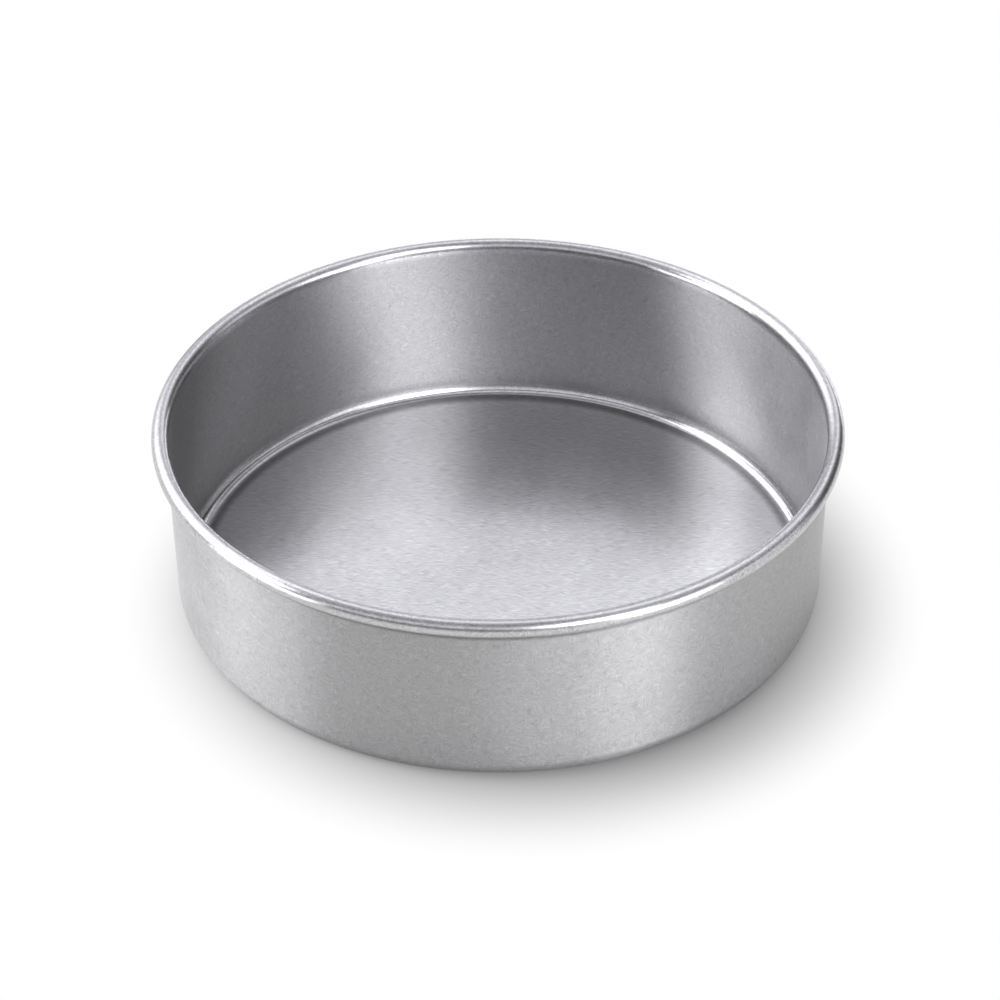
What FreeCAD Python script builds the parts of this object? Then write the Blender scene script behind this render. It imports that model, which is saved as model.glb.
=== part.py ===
"""Round cake tin with a loose base, in millimetres.

The tin stands on the plane z = 0 with its axis on +Z. Every piece is turned round that axis from one
half section, drawn with x as the radius and y as the height.
"""

import FreeCAD, Part
import math
import os

import Sketcher

# Driving dimensions, each with its cell's name, its value and what it measures.
DIMENSIONS = [
    ("inside_diameter", 200.0, "mouth of the tin, across the inside of the rim"),
    ("overall_height", 60.0, "from the surface it stands on to the top of the rim"),
    ("wall_gauge", 1.0, "thickness of the ring's sheet"),
    ("wall_taper", 0.4, "how much the wall's radius shrinks from the rim to the bottom corner"),
    ("corner_radius", 5.0, "inside radius between the wall and the ledge"),
    ("ledge_width", 6.6, "flat part of the ledge, from the corner to its free edge"),
    ("wire_diameter", 3.2, "steel wire that the rim is rolled over"),
    ("curl_gap", 0.3, "slit between the end of the rolled rim and the wall"),
    ("base_gauge", 1.0, "thickness of the loose base"),
    ("base_clearance", 0.4, "how much smaller than the corner's seat the base is, in radius"),
    ("base_lip_angle", 45.0, "how far the base's edge is turned up, in degrees"),
]


def make_sheet(doc):
    """Write the driving dimensions, and the few sizes that follow from them, into a spreadsheet."""
    sheet = doc.addObject("Spreadsheet::Sheet", "Dimensions")
    followers = [
        ("curl_radius", "=wire_diameter / 2 + wall_gauge", "outside of the rolled rim"),
        ("curl_centre_radius", "=inside_diameter / 2 + curl_radius", "centre line of the rim's roll"),
        ("curl_centre_height", "=overall_height - curl_radius", "centre line of the rim's roll"),
        ("curl_end_radius", "=inside_diameter / 2 + wall_gauge + curl_gap", "free end of the roll"),
        ("corner_centre_radius", "=inside_diameter / 2 - wall_taper - corner_radius", "bottom corner"),
        ("ledge_opening_radius", "=corner_centre_radius - ledge_width", "hole inside the ledge"),
        ("base_flat_radius", "=corner_centre_radius - base_clearance", "flat part of the base"),
    ]
    rows = [(name, str(value), note) for name, value, note in DIMENSIONS] + followers
    for row, (name, content, note) in enumerate(rows, start=1):
        sheet.set(f"A{row}", name)
        sheet.set(f"B{row}", content)
        sheet.setAlias(f"B{row}", name)
        sheet.set(f"C{row}", note)
    doc.recompute()
    return sheet


def point(radius, height):
    return FreeCAD.Vector(radius, height, 0)


def line(start, end):
    return Part.LineSegment(point(*start), point(*end))


def arc(centre, radius, start_degrees, end_degrees):
    """Arc drawn anticlockwise from the first angle to the second."""
    circle = Part.Circle(point(*centre), FreeCAD.Vector(0, 0, 1), radius)
    return Part.ArcOfCircle(circle, math.radians(start_degrees), math.radians(end_degrees))


class Profile:
    """A half section in the XZ plane of a new body, with constraints bound to the sheet."""

    START, END, CENTRE = 1, 2, 3

    def __init__(self, doc, label):
        self.body = doc.addObject("PartDesign::Body", label)
        self.body.Label = label
        self.sketch = self.body.newObject("Sketcher::SketchObject", label + "_section")
        plane = next(item for item in self.body.Origin.OriginFeatures if item.Role == "XZ_Plane")
        self.sketch.AttachmentSupport = [(plane, "")]
        self.sketch.MapMode = "FlatFace"

    def draw(self, geometry):
        return self.sketch.addGeometry(geometry, False)

    def hold(self, kind, *values):
        return self.sketch.addConstraint(Sketcher.Constraint(kind, *values))

    def size(self, kind, *values, cell):
        """Add a dimension whose value follows an expression of the sheet's cells."""
        index = self.hold(kind, *values)
        self.sketch.setExpression(f"Constraints[{index}]", cell)

    def place(self, element, end, radius=None, height=None):
        """Fix a point's distance from the tin's axis and from the plane that it stands on."""
        now = self.sketch.getPoint(element, end)
        if radius is not None:
            self.size("DistanceX", -1, self.START, element, end, now.x, cell=radius)
        if height is not None:
            self.size("DistanceY", -1, self.START, element, end, now.y, cell=height)

    def revolve(self):
        turn = self.body.newObject("PartDesign::Revolution", self.body.Name + "_turned")
        turn.Profile = self.sketch
        turn.ReferenceAxis = (self.sketch, ["V_Axis"])
        turn.Angle = 360.0
        self.body.Tip = turn
        return self.body


def make_side_wall(doc, sheet):
    """Ring: straight wall with the rim rolled outwards over a wire and a ledge turned inwards."""
    gauge = sheet.wall_gauge
    corner = (sheet.corner_centre_radius, sheet.corner_radius + gauge)
    curl = (sheet.curl_centre_radius, sheet.curl_centre_height)
    wire_radius = sheet.wire_diameter / 2
    opening = sheet.ledge_opening_radius
    outside = sheet.inside_diameter / 2 + gauge
    inside = sheet.inside_diameter / 2
    curl_end = -math.degrees(math.acos((sheet.curl_end_radius - curl[0]) / sheet.curl_radius))
    curl_tip = math.radians(curl_end)
    tip_inner = (curl[0] + wire_radius * math.cos(curl_tip), curl[1] + wire_radius * math.sin(curl_tip))
    tip_outer = (sheet.curl_end_radius, curl[1] + sheet.curl_radius * math.sin(curl_tip))

    ring = Profile(doc, "side_wall")
    start, end, centre = ring.START, ring.END, ring.CENTRE
    under = ring.draw(line((opening, 0), (corner[0], 0)))
    outer_corner = ring.draw(arc(corner, sheet.corner_radius + gauge, 270, 360))
    outer_wall = ring.draw(line((outside - sheet.wall_taper, corner[1]), (outside, curl[1])))
    curl_inner = ring.draw(arc(curl, wire_radius, curl_end, 180))
    curl_edge = ring.draw(line(tip_inner, tip_outer))
    curl_outer = ring.draw(arc(curl, sheet.curl_radius, curl_end, 180))
    inner_wall = ring.draw(line((inside, curl[1]), (inside - sheet.wall_taper, corner[1])))
    inner_corner = ring.draw(arc(corner, sheet.corner_radius, 270, 360))
    seat = ring.draw(line((corner[0], gauge), (opening, gauge)))
    ledge_edge = ring.draw(line((opening, gauge), (opening, 0)))

    # The sheet is smooth where it bends, and its two faces stay parallel.
    ring.hold("Tangent", under, end, outer_corner, start)
    ring.hold("Tangent", outer_corner, end, outer_wall, start)
    ring.hold("Tangent", outer_wall, end, curl_inner, end)
    ring.hold("Tangent", curl_outer, end, inner_wall, start)
    ring.hold("Tangent", inner_wall, end, inner_corner, end)
    ring.hold("Tangent", inner_corner, start, seat, start)
    ring.hold("Coincident", outer_corner, centre, inner_corner, centre)
    ring.hold("Coincident", curl_inner, centre, curl_outer, centre)
    ring.hold("Coincident", curl_inner, start, curl_edge, start)
    ring.hold("Coincident", curl_edge, end, curl_outer, start)
    ring.hold("PointOnObject", curl_inner, centre, curl_edge)
    ring.hold("Coincident", seat, end, ledge_edge, start)
    ring.hold("Coincident", ledge_edge, end, under, start)
    ring.hold("Horizontal", under)
    ring.hold("Horizontal", seat)
    ring.hold("Vertical", ledge_edge)
    ring.hold("PointOnObject", under, start, -1)

    ring.place(ledge_edge, end, radius="Dimensions.ledge_opening_radius")
    ring.place(ledge_edge, start, height="Dimensions.wall_gauge")
    ring.place(inner_corner, centre, radius="Dimensions.corner_centre_radius")
    ring.size("Radius", inner_corner, sheet.corner_radius, cell="Dimensions.corner_radius")
    ring.place(curl_outer, centre, radius="Dimensions.curl_centre_radius")
    ring.place(curl_outer, centre, height="Dimensions.curl_centre_height")
    ring.size("Radius", curl_inner, wire_radius, cell="Dimensions.wire_diameter / 2")
    ring.size("Radius", curl_outer, sheet.curl_radius, cell="Dimensions.curl_radius")
    ring.place(curl_edge, end, radius="Dimensions.curl_end_radius")
    return ring.revolve()


def make_rim_wire(doc, sheet):
    """Steel wire hoop that fills the rolled rim."""
    centre = (sheet.curl_centre_radius, sheet.curl_centre_height)
    radius = sheet.wire_diameter / 2
    hoop = Profile(doc, "rim_wire")
    wire = hoop.draw(Part.Circle(point(*centre), FreeCAD.Vector(0, 0, 1), radius))
    hoop.place(wire, hoop.CENTRE, radius="Dimensions.curl_centre_radius")
    hoop.place(wire, hoop.CENTRE, height="Dimensions.curl_centre_height")
    hoop.size("Radius", wire, radius, cell="Dimensions.wire_diameter / 2")
    return hoop.revolve()


def make_base_plate(doc, sheet):
    """Loose base: a flat disc on the ledge, whose edge turns up to follow the ring's corner."""
    seat = sheet.wall_gauge
    top = seat + sheet.base_gauge
    bend = (sheet.base_flat_radius, seat + sheet.corner_radius)
    top_radius = sheet.corner_radius - sheet.base_gauge
    lip_radius = sheet.base_gauge / 2
    lip_turn = -90 + sheet.base_lip_angle
    lip_reach = sheet.corner_radius - lip_radius
    lip = (bend[0] + lip_reach * math.cos(math.radians(lip_turn)),
           bend[1] + lip_reach * math.sin(math.radians(lip_turn)))

    disc = Profile(doc, "base_plate")
    start, end, centre = disc.START, disc.END, disc.CENTRE
    under = disc.draw(line((0, seat), (bend[0], seat)))
    under_bend = disc.draw(arc(bend, sheet.corner_radius, 270, 360 + lip_turn))
    edge = disc.draw(arc(lip, lip_radius, lip_turn, lip_turn + 180))
    top_bend = disc.draw(arc(bend, top_radius, 270, 360 + lip_turn))
    floor = disc.draw(line((bend[0], top), (0, top)))
    axis = disc.draw(line((0, top), (0, seat)))
    spoke = disc.draw(line(bend, lip))
    disc.sketch.setConstruction(spoke, True)

    disc.hold("Tangent", under, end, under_bend, start)
    disc.hold("Tangent", under_bend, end, edge, start)
    disc.hold("Tangent", edge, end, top_bend, end)
    disc.hold("Tangent", top_bend, start, floor, start)
    disc.hold("Coincident", under_bend, centre, top_bend, centre)
    disc.hold("Coincident", floor, end, axis, start)
    disc.hold("Coincident", axis, end, under, start)
    disc.hold("Horizontal", under)
    disc.hold("Horizontal", floor)
    disc.hold("PointOnObject", axis, start, -2)
    disc.hold("PointOnObject", axis, end, -2)
    disc.hold("Coincident", spoke, start, under_bend, centre)
    disc.hold("Coincident", spoke, end, edge, centre)

    disc.place(under, start, height="Dimensions.wall_gauge")
    disc.place(floor, end, height="Dimensions.wall_gauge + Dimensions.base_gauge")
    disc.place(under_bend, centre, radius="Dimensions.base_flat_radius")
    disc.size("Radius", under_bend, sheet.corner_radius, cell="Dimensions.corner_radius")
    disc.size("Angle", under, spoke, math.radians(lip_turn), cell="Dimensions.base_lip_angle - 90")
    return disc.revolve()


def check(doc, bodies):
    """Stop if any feature failed, a section is not fully fixed or a piece is not one sound solid."""
    for item in doc.Objects:
        if "Invalid" in item.State or "Error" in item.State:
            raise RuntimeError(f"{item.Label} failed: {item.State}")
        if item.TypeId == "Sketcher::SketchObject" and not item.FullyConstrained:
            raise RuntimeError(f"{item.Label} is not fully constrained")
    for body in bodies:
        if body.Shape.isNull() or not body.Shape.isValid() or len(body.Shape.Solids) != 1:
            raise RuntimeError(f"{body.Label} is not one sound solid")


def main():
    doc = FreeCAD.newDocument("round_cake_tin")
    sheet = make_sheet(doc)
    bodies = [make_side_wall(doc, sheet), make_rim_wire(doc, sheet), make_base_plate(doc, sheet)]
    doc.recompute()
    check(doc, bodies)
    os.makedirs("parts", exist_ok=True)
    for body in bodies:
        body.Shape.exportStep(f"parts/{body.Label}.step")
        box = body.Shape.optimalBoundingBox()
        print(f"{body.Label}: volume {body.Shape.Volume:.1f}, across {box.XLength:.2f}, "
              f"from z {box.ZMin:.3f} to {box.ZMax:.3f}")


main()
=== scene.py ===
"""Looks of the round cake tin: turned aluminium sheet with a satin finish, on a white studio floor.

Every visible piece is turned round +Z from the same half section as the CAD solid that it stands for.
Lengths are in metres, angles in degrees, and a half section is a list of (radius, height) points.
"""

import math

import bmesh
import bpy
from mathutils import Matrix, Vector


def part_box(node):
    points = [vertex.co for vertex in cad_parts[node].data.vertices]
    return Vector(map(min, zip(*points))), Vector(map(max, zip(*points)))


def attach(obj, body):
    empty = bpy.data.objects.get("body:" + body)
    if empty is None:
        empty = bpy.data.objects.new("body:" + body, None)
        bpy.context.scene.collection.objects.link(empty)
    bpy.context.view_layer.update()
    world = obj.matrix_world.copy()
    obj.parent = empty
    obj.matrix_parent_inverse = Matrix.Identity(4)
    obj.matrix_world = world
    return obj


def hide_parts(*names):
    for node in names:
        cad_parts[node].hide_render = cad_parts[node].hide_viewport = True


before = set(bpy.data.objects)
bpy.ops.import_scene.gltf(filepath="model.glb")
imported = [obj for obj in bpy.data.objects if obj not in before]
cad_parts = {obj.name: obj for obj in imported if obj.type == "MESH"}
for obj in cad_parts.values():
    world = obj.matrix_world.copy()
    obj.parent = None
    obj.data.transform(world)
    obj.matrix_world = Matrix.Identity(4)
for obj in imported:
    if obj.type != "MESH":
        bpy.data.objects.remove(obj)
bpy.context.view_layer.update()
MM = 0.001

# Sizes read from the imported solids.
_, WALL_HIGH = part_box("side_wall")
WIRE_LOW, WIRE_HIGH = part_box("rim_wire")
BASE_LOW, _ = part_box("base_plate")
GAUGE = BASE_LOW.z
WIRE_RADIUS = (WIRE_HIGH.z - WIRE_LOW.z) / 2
CURL_RADIUS = WIRE_RADIUS + GAUGE
CURL_CENTRE = (WALL_HIGH.x - CURL_RADIUS, WALL_HIGH.z - CURL_RADIUS)
MOUTH_RADIUS = CURL_CENTRE[0] - CURL_RADIUS

# Sizes that the boxes do not show.
WALL_TAPER = 0.4 * MM
CORNER_RADIUS = 5.0 * MM
LEDGE_WIDTH = 6.6 * MM
CURL_GAP = 0.3 * MM
BASE_GAUGE = 1.0 * MM
BASE_CLEARANCE = 0.4 * MM
BASE_LIP_ANGLE = 45.0
CORNER_CENTRE = (MOUTH_RADIUS - WALL_TAPER - CORNER_RADIUS, GAUGE + CORNER_RADIUS)

# How finely the sections are turned: steps round the axis, degrees per step of a bend, rows of a stretch.
TURNS = 360
BEND_STEP = 4.0
WALL_ROWS = 26
BEAD_ROWS = 5
LEDGE_ROWS = 3
FLOOR_RINGS = 24
CREASE_RINGS = 3
SHARP_ANGLE = 35.0

# Burnish of the bends, at the start and the end of a stretch: 0 is satin, 1 is as smooth as BURNISHED.
BURNISHED = 0.18
BURNISH_GAIN = 0.25
SATIN = (0.0, 0.0)
FOOT_SHINE = 0.3
RIM_SHINE = 0.8
CORNER_SHINE = (0.2, 0.9)
CORNER_SHINE_FROM = 8.0
CORNER_SHINE_FULL = 24.0
CREASE_SHINE = 0.2
LIP_SHINE = (0.5, 0.8)

# Painted shade, at the start and the end of a stretch: the share by which the finish is painted darker
# there.
NO_PAINTED_SHADE = (0.0, 0.0)
# Painted shade at the foot, darkest where the tin stands on the floor.
FOOT_PAINTED_SHADE = 0.85
# Painted shade on the outer wall just under the rim bead: how far down it reaches, and its shares.
BEAD_PAINTED_SHADE_REACH = 5.9 * MM
BEAD_PAINTED_SHADE = (0.51, 0.85)
# Painted shade over the inside wall, fading out at the inner corner.
INSIDE_PAINTED_SHADE = 0.08
# Painted shade in the inner corner and on the ledge, where the base sits.
SEAT_PAINTED_SHADE = 0.3
# Painted shade in the base's crease and on its lip: the crease's width, the angle where its darkest part
# ends, and the shares.
CREASE_WIDTH = 2.6 * MM
CREASE_END = 66.0
CREASE_PAINTED_SHADE_RAMP = (0.165, 0.385)
CREASE_PAINTED_SHADE = (0.55, 0.605)
LIP_PAINTED_SHADE = 0.275

# Metal tones and roughness. The wall is brushed askew, which stretches its highlights into stripes.
WALL_TONE = (0.455, 0.454, 0.458)
WALL_ROUGHNESS = 0.43
WALL_BRUSHING = 0.90
BRUSH_TURN = 0.226
BASE_TONE = (0.720, 0.719, 0.726)
BASE_ROUGHNESS = 0.24
WIRE_DARK = (0.30, 0.30, 0.31, 1.0)
WIRE_LIGHT = (0.42, 0.42, 0.43, 1.0)
WIRE_ROUGHNESS = (0.30, 0.50)
WIRE_GRAIN = 1.0 * MM

# Cloudy patches and broad swells of the sheet.
NOISE_RANGE = (0.3, 0.7)
PATCH_SIZE = 16 * MM
PATCH_ROUGHNESS = 0.04
PATCH_SHADE = 0.12
SWELL_SIZE = 60 * MM
SWELL_DEPTH = 0.4 * MM

# Rubbing marks: hair-like fibres that come in patches, each layer of them shifted and at its own angle.
HAIR_LENGTH = 3.4 * MM
HAIR_WIDTH = 0.45 * MM
HAIR_WANDER = 4.5 * MM
HAIR_SWAY = 1.6 * MM
HAIR_PATCH = 4.0 * MM
HAIR_PATCH_EDGE = (0.35, 0.60)
HAIR_FAINT = 0.25
HAIR_SHIFT = Vector((137, 291, 0)) * MM
HAIR_ROUGHNESS = 0.10
HAIR_SHADE = 0.35
HAIR_BURNISHED = 0.1
HAIR_BURNISHED_FROM = 0.6
WALL_HAIR_ANGLES = (0, 40, -40, 90)
WALL_HAIR_DEPTH = 0.014 * MM
BASE_HAIR_ANGLES = (0, 20, -20, 8)
BASE_HAIR_DEPTH = 0.005 * MM

# Longer scratches in two layers: spacing, half width and half length.
SCRATCHES = ((26 * MM, 0.10 * MM, 6 * MM), (34 * MM, 0.12 * MM, 9 * MM))
SCRATCH_CHANCE = (0.3, 0.9)
SCRATCH_SHIFT = Vector((41, 17, 0)) * MM
SCRATCH_SHADE = 0.10
SCRATCH_HEIGHT = 0.15

# Studio floor. It is matt grey inside a round zone about the tin's shadow and pure white outside it; the
# fade paints part of the shadow's soft outer edge.
FLOOR_WHITE = (0.40, 0.396, 0.390)
FLOOR_SHADE = 0.99
FLOOR_PATCH = 0.4
FLOOR_RADIUS = 2.7
FLOOR_SIDES = 96
FLOOR_DROP = 0.1 * MM
SHADOW_CENTRE = (8 * MM, -9 * MM, 0.0)
SHADOW_RADIUS = 103 * MM
SHADOW_FADE = 24 * MM

# Light. A panel's azimuth runs from +X towards +Y, and its half width and half height are tangents as
# seen from the tin: azimuth, elevation, half width, half height, soft edge, strength, tint.
SOFT_WHITE = (0.99, 0.99, 1.02)
COOL_WHITE = (0.98, 0.98, 1.04)
AMBIENT = 0.10
LEAST_DEPTH = 0.001
PANELS = {
    "left_key": (-164, 5, 0.34, 0.10, 0.16, 7.8, SOFT_WHITE),
    "left_high": (180, 36, 0.20, 0.16, 0.23, 7.2, SOFT_WHITE),
    "back_left": (142, 29, 0.52, 0.35, 0.60, 2.6, COOL_WHITE),
    "front_right": (-59, 36, 0.22, 0.19, 0.38, 6.4, SOFT_WHITE),
    "front_right_low": (-38, 6, 0.22, 0.20, 0.34, 8.4, SOFT_WHITE),
    "front": (-100, 37, 1.00, 0.17, 0.20, 1.00, COOL_WHITE),
    "front_high": (-95, 57, 0.90, 0.30, 0.30, 0.45, COOL_WHITE),
    "right": (-20, 18, 0.75, 0.30, 0.60, 1.1, COOL_WHITE),
    "back": (84, 32, 0.40, 0.42, 0.30, 0.60, COOL_WHITE),
    "back_strip": (72, 32, 0.12, 0.20, 0.20, 1.0, COOL_WHITE),
    "back_low": (80, 0, 0.50, 0.10, 0.08, 3.0, COOL_WHITE),
    "overhead": (90, 68, 0.90, 0.48, 0.40, 0.60, COOL_WHITE),
    "back_high": (90, 60, 0.40, 0.10, 0.10, 1.6, COOL_WHITE),
}

# Camera, from the ellipses of the rim, the wall and the foot in the photograph.
CAMERA_PLACE = Vector((0.4767, -734.660, 558.264)) * MM
CAMERA_ELEVATION = 35.8663
CAMERA_ROLL = -0.3409
CAMERA_LENS = 105.03
CAMERA_SENSOR = 36.0


def bend(centre, radius, start, end):
    """Points of an arc of the half section, in degrees from the outward direction, towards +Z."""
    count = max(2, round(abs(end - start) / BEND_STEP))
    angles = [math.radians(start + (end - start) * k / count) for k in range(count + 1)]
    return [(centre[0] + radius * math.cos(a), centre[1] + radius * math.sin(a)) for a in angles]


def straight(start, end, rows):
    """Points inside a straight stretch, without its two ends."""
    return [
        (start[0] + (end[0] - start[0]) * k / rows, start[1] + (end[1] - start[1]) * k / rows)
        for k in range(1, rows)
    ]


def joined(parts):
    """Section of stretches in a row, each with its burnish and its painted shade at its two ends."""
    points, polish, painted_shade = [], [], []
    for stretch, shine, shade_paint in parts:
        for k, point in enumerate(stretch):
            share = k / max(1, len(stretch) - 1)
            points.append(point)
            polish.append(shine[0] + (shine[1] - shine[0]) * share)
            painted_shade.append(shade_paint[0] + (shade_paint[1] - shade_paint[0]) * share)
    return points, polish, painted_shade


def ring_section():
    """Closed half section of the ring."""
    lean = math.degrees(math.atan2(WALL_TAPER, CURL_CENTRE[1] - CORNER_CENTRE[1]))
    end_radius = MOUTH_RADIUS + GAUGE + CURL_GAP
    curl_end = -math.degrees(math.acos((end_radius - CURL_CENTRE[0]) / CURL_RADIUS))
    ledge = CORNER_CENTRE[0] - LEDGE_WIDTH
    outer_corner = bend(CORNER_CENTRE, CORNER_RADIUS + GAUGE, -90, -lean)
    curl_inner = bend(CURL_CENTRE, WIRE_RADIUS, 180 - lean, curl_end)
    curl_outer = bend(CURL_CENTRE, CURL_RADIUS, curl_end, 180 - lean)
    share = 1 - BEAD_PAINTED_SHADE_REACH / (curl_inner[0][1] - outer_corner[-1][1])
    under_bead = tuple(a + (b - a) * share for a, b in zip(outer_corner[-1], curl_inner[0]))
    corner_top = bend(CORNER_CENTRE, CORNER_RADIUS, -lean, -CORNER_SHINE_FROM)
    corner_turn = bend(CORNER_CENTRE, CORNER_RADIUS, -CORNER_SHINE_FROM, -CORNER_SHINE_FULL)
    corner_foot = bend(CORNER_CENTRE, CORNER_RADIUS, -CORNER_SHINE_FULL, -90)
    return joined([
        (outer_corner, (FOOT_SHINE, 0.0), (FOOT_PAINTED_SHADE, 0.0)),
        (straight(outer_corner[-1], under_bead, WALL_ROWS), SATIN, NO_PAINTED_SHADE),
        ([under_bead], SATIN, NO_PAINTED_SHADE),
        (straight(under_bead, curl_inner[0], BEAD_ROWS), SATIN, BEAD_PAINTED_SHADE),
        (curl_inner, SATIN, NO_PAINTED_SHADE),
        (curl_outer, (RIM_SHINE, RIM_SHINE), NO_PAINTED_SHADE),
        (straight(curl_outer[-1], corner_top[0], WALL_ROWS), SATIN, (INSIDE_PAINTED_SHADE, INSIDE_PAINTED_SHADE)),
        (corner_top, SATIN, (INSIDE_PAINTED_SHADE, INSIDE_PAINTED_SHADE)),
        (corner_turn[1:], CORNER_SHINE, (INSIDE_PAINTED_SHADE, 0.0)),
        (corner_foot[1:], (CORNER_SHINE[1], CORNER_SHINE[1]), (0.0, SEAT_PAINTED_SHADE)),
        (straight(corner_foot[-1], (ledge, GAUGE), LEDGE_ROWS), SATIN, (SEAT_PAINTED_SHADE, SEAT_PAINTED_SHADE)),
        ([(ledge, GAUGE), (ledge, 0.0)], SATIN, NO_PAINTED_SHADE),
        (straight((ledge, 0.0), outer_corner[0], LEDGE_ROWS), SATIN, NO_PAINTED_SHADE),
    ])


def base_section():
    """Half section of the loose base, from the axis over the top and back underneath."""
    centre = (CORNER_CENTRE[0] - BASE_CLEARANCE, CORNER_CENTRE[1])
    lip_turn = -90 + BASE_LIP_ANGLE
    lip_reach = CORNER_RADIUS - BASE_GAUGE / 2
    lip = (centre[0] + lip_reach * math.cos(math.radians(lip_turn)),
           centre[1] + lip_reach * math.sin(math.radians(lip_turn)))
    foot_bend = bend(centre, CORNER_RADIUS - BASE_GAUGE, -90, -CREASE_END)
    lip_bend = bend(centre, CORNER_RADIUS - BASE_GAUGE, -CREASE_END, lip_turn)
    edge = bend(lip, BASE_GAUGE / 2, lip_turn + 180, lip_turn)
    under_bend = bend(centre, CORNER_RADIUS, lip_turn, -90)
    top, under = GAUGE + BASE_GAUGE, GAUGE
    crease = (centre[0] - CREASE_WIDTH, top)
    return joined([
        ([(0.0, top)], SATIN, NO_PAINTED_SHADE),
        (straight((0.0, top), crease, FLOOR_RINGS), SATIN, NO_PAINTED_SHADE),
        ([crease], SATIN, NO_PAINTED_SHADE),
        (straight(crease, foot_bend[0], CREASE_RINGS), SATIN, CREASE_PAINTED_SHADE_RAMP),
        (foot_bend, (0.0, CREASE_SHINE), CREASE_PAINTED_SHADE),
        (lip_bend[1:], LIP_SHINE, (LIP_PAINTED_SHADE, 0.0)),
        (edge[1:-1], (LIP_SHINE[1], 0.0), (0.0, CREASE_PAINTED_SHADE[0])),
        (under_bend, (FOOT_SHINE, FOOT_SHINE), NO_PAINTED_SHADE),
        (straight(under_bend[-1], (0.0, under), FLOOR_RINGS), SATIN, NO_PAINTED_SHADE),
        ([(0.0, under)], SATIN, NO_PAINTED_SHADE),
    ])


def turned(name, section, closed, material):
    """Mesh object of a half section turned round +Z.

    Every point carries its burnish and its painted shade, and every face the flat sheet's place in metres.
    """
    points, polish, painted_shade = section
    mesh = bpy.data.meshes.new(name)
    builder = bmesh.new()
    burnish_layer = builder.verts.layers.float.new("burnish")
    painted_shade_layer = builder.verts.layers.float.new("painted_shade")
    sheet = builder.loops.layers.uv.new("sheet")
    rings = []
    for (radius, height), shine, shade_paint in zip(points, polish, painted_shade):
        ring = []
        for k in range(1 if radius == 0.0 else TURNS):
            angle = 2 * math.pi * k / TURNS
            vertex = builder.verts.new((radius * math.cos(angle), radius * math.sin(angle), height))
            vertex[burnish_layer] = shine
            vertex[painted_shade_layer] = shade_paint
            ring.append(vertex)
        rings.append(ring)
    along = [0.0]
    for near, far in zip(points, points[1:] + points[:1]):
        along.append(along[-1] + math.dist(near, far))
    for row in range(len(rings) if closed else len(rings) - 1):
        lower, upper = rings[row], rings[(row + 1) % len(rings)]
        for k in range(TURNS):
            corners = [(lower, row, k), (lower, row, k + 1), (upper, row + 1, k + 1), (upper, row + 1, k)]
            places = {ring[turn % len(ring)]: (turn, step) for ring, step, turn in corners}
            face = builder.faces.new(list(places))
            face.smooth = True
            for loop in face.loops:
                turn, step = places[loop.vert]
                flat = (MOUTH_RADIUS * 2 * math.pi * turn / TURNS, along[step])
                loop[sheet].uv = flat if closed else loop.vert.co.xy
    bmesh.ops.recalc_face_normals(builder, faces=builder.faces)
    builder.to_mesh(mesh)
    builder.free()
    mesh.set_sharp_from_angle(angle=math.radians(SHARP_ANGLE))
    mesh.materials.append(material)
    piece = bpy.data.objects.new(name, mesh)
    bpy.context.scene.collection.objects.link(piece)
    return piece


def put(tree, socket, value):
    """Link a socket to an input, or set the input's own value."""
    if isinstance(value, bpy.types.NodeSocket):
        tree.links.new(value, socket)
    else:
        socket.default_value = value


def node(tree, kind, settings=None, inputs=None):
    """Add a node with its settings, and its inputs by name or by number."""
    made = tree.nodes.new(kind)
    for name, value in (settings or {}).items():
        setattr(made, name, value)
    for name, value in (inputs or {}).items():
        put(tree, made.inputs[name], value)
    return made


def maths(tree, operation, *values):
    """Output of a math node."""
    return node(tree, "ShaderNodeMath", {"operation": operation}, dict(enumerate(values))).outputs[0]


def vectors(tree, operation, *values):
    """Output of a vector math node: a number for a dot product or a length, a vector otherwise."""
    made = node(tree, "ShaderNodeVectorMath", {"operation": operation}, dict(enumerate(values)))
    return made.outputs["Value" if operation in ("DOT_PRODUCT", "LENGTH") else "Vector"]


def between(tree, value, low, high, at_low=0.0, at_high=1.0):
    """Smooth step from one value to another."""
    settings = {"interpolation_type": "SMOOTHSTEP"}
    inputs = {0: value, 1: low, 2: high, 3: at_low, 4: at_high}
    return node(tree, "ShaderNodeMapRange", settings, inputs).outputs[0]


def tinted(tree, tone, shade):
    """Colour of a tone times a shade."""
    settings = {"data_type": "RGBA", "blend_type": "MULTIPLY"}
    return node(tree, "ShaderNodeMix", settings, {0: 1.0, 6: (*tone, 1.0), 7: shade}).outputs[2]


def spun(tree, place, centre, angle):
    """Place turned round +Z about a centre, by an angle in radians."""
    inputs = {"Vector": place, "Center": centre, "Angle": angle}
    return node(tree, "ShaderNodeVectorRotate", {"rotation_type": "Z_AXIS"}, inputs).outputs[0]


def cloud(tree, place, size, detail=2.0):
    """Soft random patches of about the given size."""
    inputs = {"Vector": place, "Scale": 1 / size, "Detail": detail, "Roughness": 0.5}
    return node(tree, "ShaderNodeTexNoise", None, inputs).outputs["Fac"]


def turned_cells(tree, place, size):
    """Cells of about the given size, each turned its own way: the place in the cell, and its chance."""
    inputs = {"Vector": place, "Scale": 1 / size}
    cells = node(tree, "ShaderNodeTexVoronoi", {"voronoi_dimensions": "2D"}, inputs)
    chance = node(tree, "ShaderNodeSeparateColor", None, {0: cells.outputs["Color"]})
    middle = cells.outputs["Position"]
    angle = maths(tree, "MULTIPLY", chance.outputs[0], math.pi)
    return vectors(tree, "SUBTRACT", spun(tree, place, middle, angle), middle), chance.outputs[1]


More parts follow.
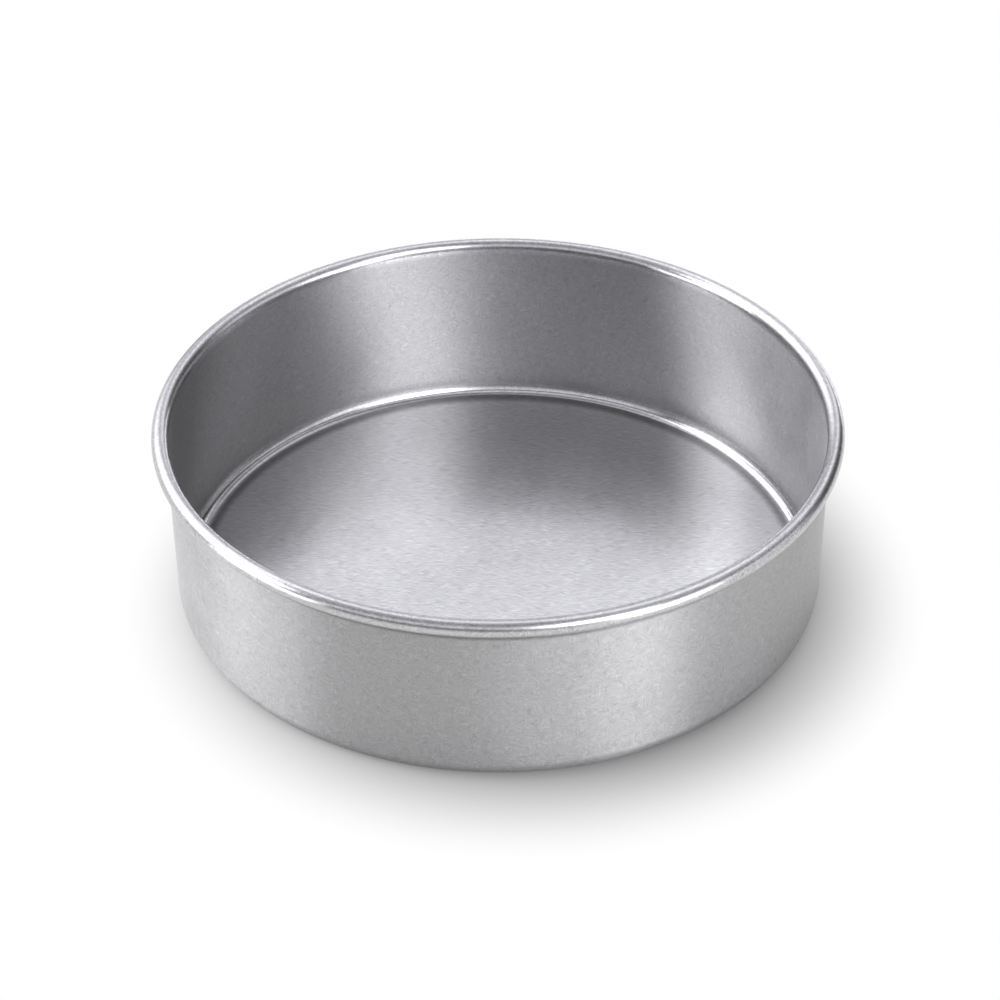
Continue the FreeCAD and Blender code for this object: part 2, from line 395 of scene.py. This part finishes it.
def channels(tree, place, size, detail=0.0):
    """Three unrelated soft random fields, as one colour and one by one."""
    inputs = {"Vector": place, "Scale": 1 / size, "Detail": detail}
    fields = node(tree, "ShaderNodeTexNoise", {"noise_dimensions": "2D"}, inputs).outputs["Color"]
    return fields, node(tree, "ShaderNodeSeparateColor", None, {0: fields}).outputs


def rubbing(tree, place, directions):
    """Fine wavy fibres left by rubbing, each patch of them in one of the directions; 0 on the whole."""
    wander, _ = channels(tree, place, HAIR_WANDER)
    wander = vectors(tree, "SUBTRACT", wander, (0.5, 0.5, 0.5))
    place = vectors(tree, "MULTIPLY_ADD", wander, (HAIR_SWAY, HAIR_SWAY, 0.0), place)
    total = None
    for step, degrees in enumerate(directions):
        moved = vectors(tree, "ADD", place, HAIR_SHIFT * step)
        _, fields = channels(tree, moved, HAIR_PATCH)
        shown = between(tree, fields[0], *HAIR_PATCH_EDGE, HAIR_FAINT, 1.0)
        along = spun(tree, moved, (0.0, 0.0, 0.0), math.radians(degrees))
        thread = vectors(tree, "MULTIPLY", along, (1 / HAIR_LENGTH, 1 / HAIR_WIDTH, 0.0))
        _, threads = channels(tree, thread, 1.0, 1.0)
        fibre = maths(tree, "MULTIPLY", maths(tree, "SUBTRACT", threads[0], 0.5), shown)
        total = fibre if total is None else maths(tree, "ADD", total, fibre)
    return total


def scratches(tree, place):
    """A few longer thin scratches, 1 on the scratch and 0 beside it."""
    total = None
    for step, (size, width, length) in enumerate(SCRATCHES):
        moved = vectors(tree, "ADD", place, SCRATCH_SHIFT * step)
        inside, chance = turned_cells(tree, moved, size)
        across = node(tree, "ShaderNodeSeparateXYZ", None, {0: inside})
        line = between(tree, maths(tree, "ABSOLUTE", across.outputs[1]), 0.0, width, 1.0, 0.0)
        reach = between(tree, maths(tree, "ABSOLUTE", across.outputs[0]), 0.0, length, 1.0, 0.0)
        line = maths(tree, "MULTIPLY", line, reach)
        line = maths(tree, "MULTIPLY", line, between(tree, chance, *SCRATCH_CHANCE))
        total = line if total is None else maths(tree, "MAXIMUM", total, line)
    return total


def new_material(name):
    """Material with one Principled shader."""
    material = bpy.data.materials.new(name)
    material.use_nodes = True
    tree = material.node_tree
    tree.nodes.clear()
    output = node(tree, "ShaderNodeOutputMaterial")
    shader = node(tree, "ShaderNodeBsdfPrincipled")
    tree.links.new(shader.outputs[0], output.inputs[0])
    return material, tree, shader


def aluminium(name, tone, satin, brushing, directions, hair_depth):
    """Satin aluminium: hair-like rubbing marks, cloudy patches, a few scratches and burnished bends."""
    material, tree, shader = new_material(name)
    shader.inputs["Metallic"].default_value = 1.0
    sheet = node(tree, "ShaderNodeUVMap", {"uv_map": "sheet"}).outputs[0]
    polish = node(tree, "ShaderNodeAttribute", {"attribute_name": "burnish"}).outputs["Fac"]
    painted_shade = node(tree, "ShaderNodeAttribute", {"attribute_name": "painted_shade"}).outputs["Fac"]
    place = node(tree, "ShaderNodeTexCoord").outputs["Object"]
    hair = rubbing(tree, sheet, directions)
    marks = scratches(tree, sheet)
    patch = cloud(tree, place, PATCH_SIZE)
    swell = cloud(tree, place, SWELL_SIZE, 1.0)

    smoother, rougher = (1 - PATCH_ROUGHNESS) * satin, (1 + PATCH_ROUGHNESS) * satin
    rough = between(tree, patch, *NOISE_RANGE, smoother, rougher)
    rough = maths(tree, "MULTIPLY_ADD", hair, HAIR_ROUGHNESS * satin, rough)
    blend = node(tree, "ShaderNodeMix", {"data_type": "FLOAT"}, {0: polish, 2: rough, 3: BURNISHED})
    put(tree, shader.inputs["Roughness"], blend.outputs[0])

    shade = maths(tree, "MULTIPLY_ADD", hair, HAIR_SHADE, 1.0)
    shade = maths(tree, "MULTIPLY_ADD", maths(tree, "SUBTRACT", patch, 0.5), PATCH_SHADE, shade)
    shade = maths(tree, "MULTIPLY_ADD", marks, SCRATCH_SHADE, shade)
    shade = maths(tree, "MULTIPLY", shade, maths(tree, "MULTIPLY_ADD", polish, BURNISH_GAIN, 1.0))
    # Painted shade: the finish is made darker where the section carries it, at the foot, under the bead,
    # inside the tin, in the inner corner and in the base's crease.
    shade = maths(tree, "MULTIPLY", shade, maths(tree, "SUBTRACT", 1.0, painted_shade))
    put(tree, shader.inputs["Base Color"], tinted(tree, tone, shade))

    height = maths(tree, "MULTIPLY_ADD", marks, SCRATCH_HEIGHT, hair)
    kept = between(tree, polish, 0.0, HAIR_BURNISHED_FROM, 1.0, HAIR_BURNISHED)
    height = maths(tree, "MULTIPLY", height, kept)
    inputs = {"Height": height, "Strength": 1.0, "Distance": hair_depth}
    fine = node(tree, "ShaderNodeBump", None, inputs)
    inputs = {"Height": swell, "Strength": 1.0, "Distance": SWELL_DEPTH, "Normal": fine.outputs[0]}
    broad = node(tree, "ShaderNodeBump", None, inputs)
    put(tree, shader.inputs["Normal"], broad.outputs[0])
    if brushing:
        tangent = node(tree, "ShaderNodeTangent", {"direction_type": "RADIAL", "axis": "Z"})
        put(tree, shader.inputs["Tangent"], tangent.outputs[0])
        shader.inputs["Anisotropic"].default_value = brushing
        shader.inputs["Anisotropic Rotation"].default_value = BRUSH_TURN
    return material


def steel_wire():
    """Drawn steel with faint patches."""
    material, tree, shader = new_material("drawn_steel")
    shader.inputs["Metallic"].default_value = 1.0
    place = node(tree, "ShaderNodeTexCoord").outputs["Object"]
    grain = cloud(tree, place, WIRE_GRAIN)
    put(tree, shader.inputs["Roughness"], between(tree, grain, *NOISE_RANGE, *WIRE_ROUGHNESS))
    tint = node(tree, "ShaderNodeMix", {"data_type": "RGBA"}, {0: grain, 6: WIRE_DARK, 7: WIRE_LIGHT})
    put(tree, shader.inputs["Base Color"], tint.outputs[2])
    return material


def white_floor():
    """Large white studio floor under the tin: matt near it, pure white away; the fade paints part of its
    shadow.
    """
    material, tree, shader = new_material("white_floor")
    output = shader.outputs[0].links[0].to_node
    place = node(tree, "ShaderNodeTexCoord").outputs["Object"]
    shade = between(tree, cloud(tree, place, FLOOR_PATCH), *NOISE_RANGE, FLOOR_SHADE, 1.0)
    put(tree, shader.inputs["Base Color"], tinted(tree, FLOOR_WHITE, shade))
    shader.inputs["Roughness"].default_value = 1.0
    shader.inputs["Specular IOR Level"].default_value = 0.0
    rays = node(tree, "ShaderNodeLightPath").outputs
    seen = maths(tree, "ADD", rays["Is Camera Ray"], rays["Is Glossy Ray"])
    seen = maths(tree, "ADD", seen, rays["Is Transmission Ray"])
    # The matt floor fades to white outwards round the shadow: a painted soft outer edge of the tin's
    # shadow.
    away = vectors(tree, "LENGTH", vectors(tree, "SUBTRACT", place, SHADOW_CENTRE))
    far = between(tree, away, SHADOW_RADIUS - SHADOW_FADE, SHADOW_RADIUS + SHADOW_FADE)
    share = maths(tree, "MINIMUM", maths(tree, "MULTIPLY", far, seen), 1.0)
    white = node(tree, "ShaderNodeEmission", None, {"Color": (1.0, 1.0, 1.0, 1.0), "Strength": 1.0})
    inputs = {0: share, 1: shader.outputs[0], 2: white.outputs[0]}
    blend = node(tree, "ShaderNodeMixShader", None, inputs)
    tree.links.new(blend.outputs[0], output.inputs[0])
    material.cycles.emission_sampling = "NONE"
    mesh = bpy.data.meshes.new("floor")
    builder = bmesh.new()
    bmesh.ops.create_circle(builder, cap_ends=True, segments=FLOOR_SIDES, radius=FLOOR_RADIUS)
    builder.to_mesh(mesh)
    builder.free()
    mesh.materials.append(material)
    floor = bpy.data.objects.new("floor", mesh)
    floor.location.z = -FLOOR_DROP
    bpy.context.scene.collection.objects.link(floor)


def studio_world():
    """World light: an even ambient with soft flat panels round the tin."""
    world = bpy.data.worlds.new("studio")
    bpy.context.scene.world = world
    world.use_nodes = True
    tree = world.node_tree
    tree.nodes.clear()
    output = node(tree, "ShaderNodeOutputWorld")
    way = node(tree, "ShaderNodeTexCoord").outputs["Generated"]
    total = [AMBIENT * channel for channel in COOL_WHITE]
    for azimuth, elevation, half_width, half_height, soft, strength, tint in PANELS.values():
        a, e = math.radians(azimuth), math.radians(elevation)
        middle = Vector((math.cos(e) * math.cos(a), math.cos(e) * math.sin(a), math.sin(e)))
        aside = Vector((-math.sin(a), math.cos(a), 0.0))
        above = middle.cross(aside)
        depth = vectors(tree, "DOT_PRODUCT", way, middle)
        glow = maths(tree, "GREATER_THAN", depth, 0.0)
        depth = maths(tree, "MAXIMUM", depth, LEAST_DEPTH)
        for axis, half in ((aside, half_width), (above, half_height)):
            offset = maths(tree, "ABSOLUTE", vectors(tree, "DOT_PRODUCT", way, axis))
            offset = maths(tree, "DIVIDE", offset, depth)
            edge = between(tree, offset, half - soft / 2, half + soft / 2, 1.0, 0.0)
            glow = maths(tree, "MULTIPLY", glow, edge)
        shine = [strength * channel for channel in tint]
        total = vectors(tree, "MULTIPLY_ADD", shine, glow, total)
    background = node(tree, "ShaderNodeBackground", None, {"Color": total, "Strength": 1.0})
    tree.links.new(background.outputs[0], output.inputs[0])


def photo_camera():
    """Camera at the photograph's place, angle and lens."""
    data = bpy.data.cameras.new("camera")
    data.sensor_width = CAMERA_SENSOR
    data.lens = CAMERA_LENS
    camera = bpy.data.objects.new("camera", data)
    tilt = Matrix.Rotation(math.radians(90 - CAMERA_ELEVATION), 4, "X")
    roll = Matrix.Rotation(math.radians(CAMERA_ROLL), 4, "Z")
    camera.matrix_world = Matrix.Translation(CAMERA_PLACE) @ tilt @ roll
    bpy.context.scene.collection.objects.link(camera)
    bpy.context.scene.camera = camera


wall_finish = aluminium("satin_aluminium_wall", WALL_TONE, WALL_ROUGHNESS, WALL_BRUSHING,
                        WALL_HAIR_ANGLES, WALL_HAIR_DEPTH)
base_finish = aluminium("satin_aluminium_base", BASE_TONE, BASE_ROUGHNESS, 0.0,
                        BASE_HAIR_ANGLES, BASE_HAIR_DEPTH)

ring = turned("tin_ring", ring_section(), True, wall_finish)
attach(ring, "ring")
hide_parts("side_wall")

base = turned("tin_base", base_section(), False, base_finish)
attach(base, "base")
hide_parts("base_plate")

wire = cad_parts["rim_wire"]
wire.data.materials.clear()
wire.data.materials.append(steel_wire())

white_floor()
studio_world()
photo_camera()
bpy.context.scene.view_settings.view_transform = "Standard"
